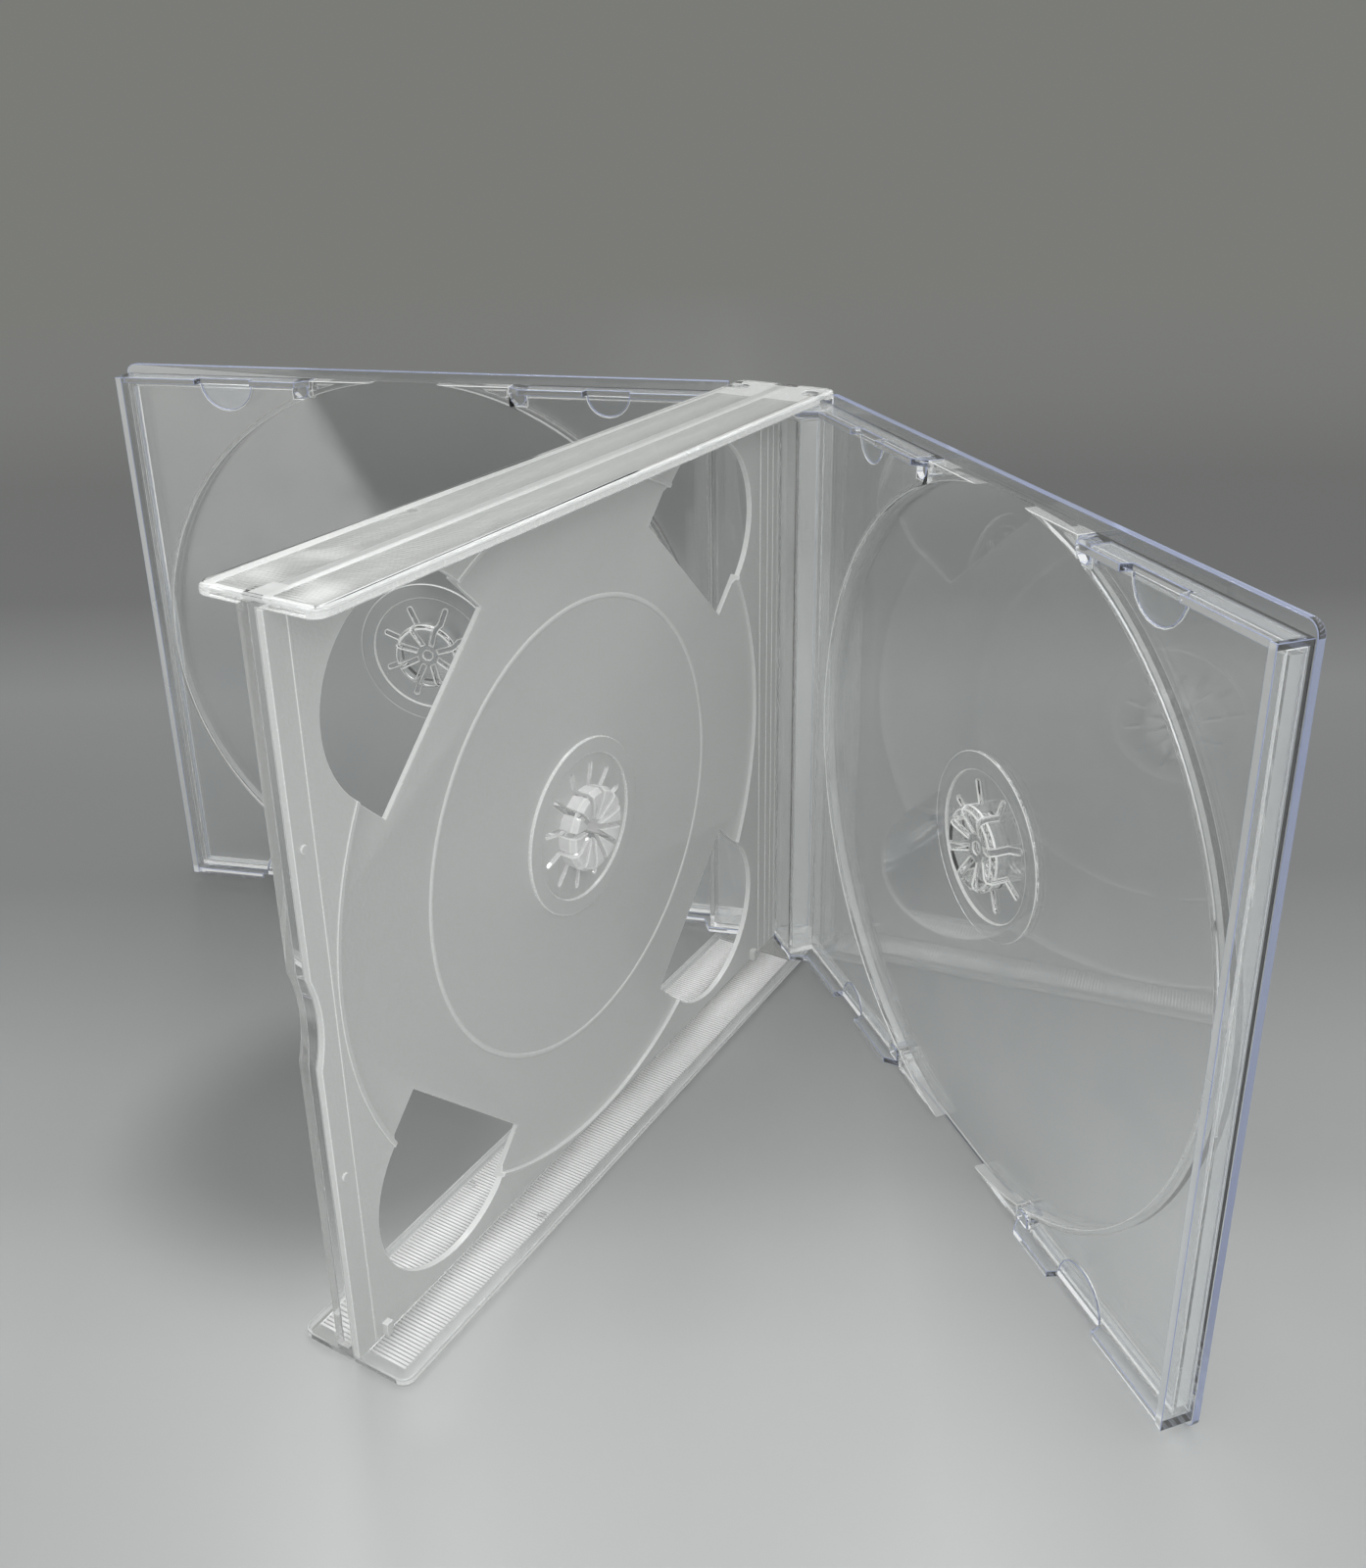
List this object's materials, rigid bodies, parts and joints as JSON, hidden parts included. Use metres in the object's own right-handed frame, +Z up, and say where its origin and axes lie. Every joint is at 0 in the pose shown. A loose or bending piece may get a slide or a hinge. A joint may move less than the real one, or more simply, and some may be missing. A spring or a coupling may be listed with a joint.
{
  "type": "multi-disc cd jewel case",
  "caption": "Clear multi-disc CD jewel case standing open like a book: ribbed centre frame with a frosted double-sided tray and hinged covers with disc trays",
  "frame": {"origin": "on the standing surface, under the middle of the centre frame's bottom flange", "axes": "+X along the centre frame from its free end to the hinge end, +Y to the side of the left wing, +Z up"},
  "size_m": [0.1427, 0.2517, 0.125],
  "materials": {
    "clear_polystyrene": "clear polished moulding",
    "tinted_clear_polystyrene": "clear polished moulding with a faint blue tint at its edges",
    "frosted_polystyrene": "frosted translucent moulding"
  },
  "bodies": {
    "frame": {"centre_frame": "clear_polystyrene", "centre_tray": "frosted_polystyrene"},
    "right_wing": {"right_cover": "tinted_clear_polystyrene", "right_disc_tray": "clear_polystyrene"},
    "left_wing": {"left_cover": "tinted_clear_polystyrene", "left_disc_tray": "clear_polystyrene"}
  },
  "joints": [
    {"name": "right_wing_hinge", "type": "hinge", "parent": "frame", "child": "right_wing", "pos_m": [0.0655, -0.0076, 0.0625], "axis": [0, 0, 1], "range_deg": [-50, 40]},
    {"name": "left_wing_hinge", "type": "hinge", "parent": "frame", "child": "left_wing", "pos_m": [0.0655, 0.0076, 0.0625], "axis": [0, 0, -1], "range_deg": [-71, 19]}
  ]
}
